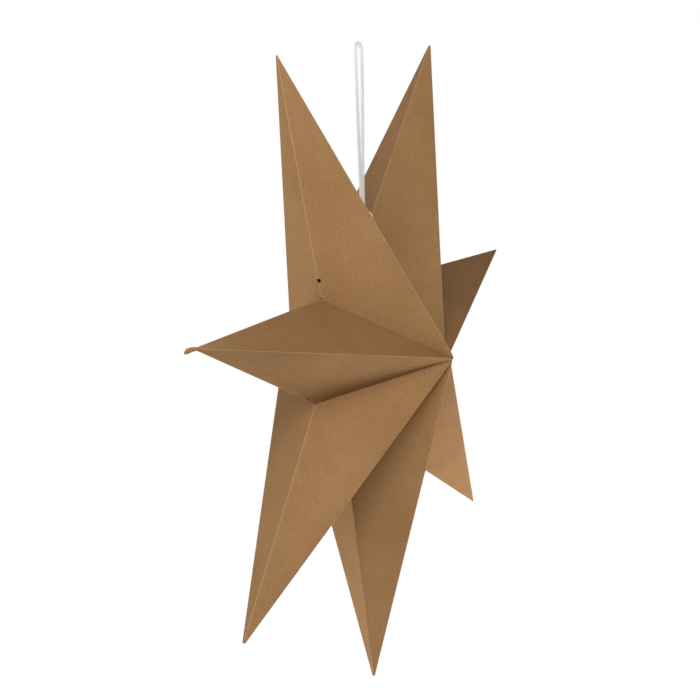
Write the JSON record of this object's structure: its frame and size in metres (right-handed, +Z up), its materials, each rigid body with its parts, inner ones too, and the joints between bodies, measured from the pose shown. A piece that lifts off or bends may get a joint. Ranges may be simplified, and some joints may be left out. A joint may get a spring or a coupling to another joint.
{
  "type": "folded paper star",
  "caption": "Hollow star ornament of folded kraft paper points glued round a ring, hung from a nail by a loop of braided cord",
  "frame": {"origin": "the top of the inside of the cord's loop, where it rests on its nail", "axes": "+Z up; +X to the right seen from the front, along the star's width; +Y to the back, along the star's depth"},
  "size_m": [0.5898, 0.1733, 0.5753],
  "materials": {
    "kraft_paper": "matte, fibrous",
    "braided_cord": "matte, braided"
  },
  "bodies": {
    "root": {"point_upper_right": "kraft_paper", "point_right": "kraft_paper", "point_lower_right": "kraft_paper", "point_bottom": "kraft_paper", "point_lower_left": "kraft_paper", "point_left": "kraft_paper", "point_upper_left": "kraft_paper", "hanging_cord": "braided_cord", "loop_knot": "braided_cord", "end_knot_left": "braided_cord", "end_knot_right": "braided_cord"}
  },
  "joints": []
}
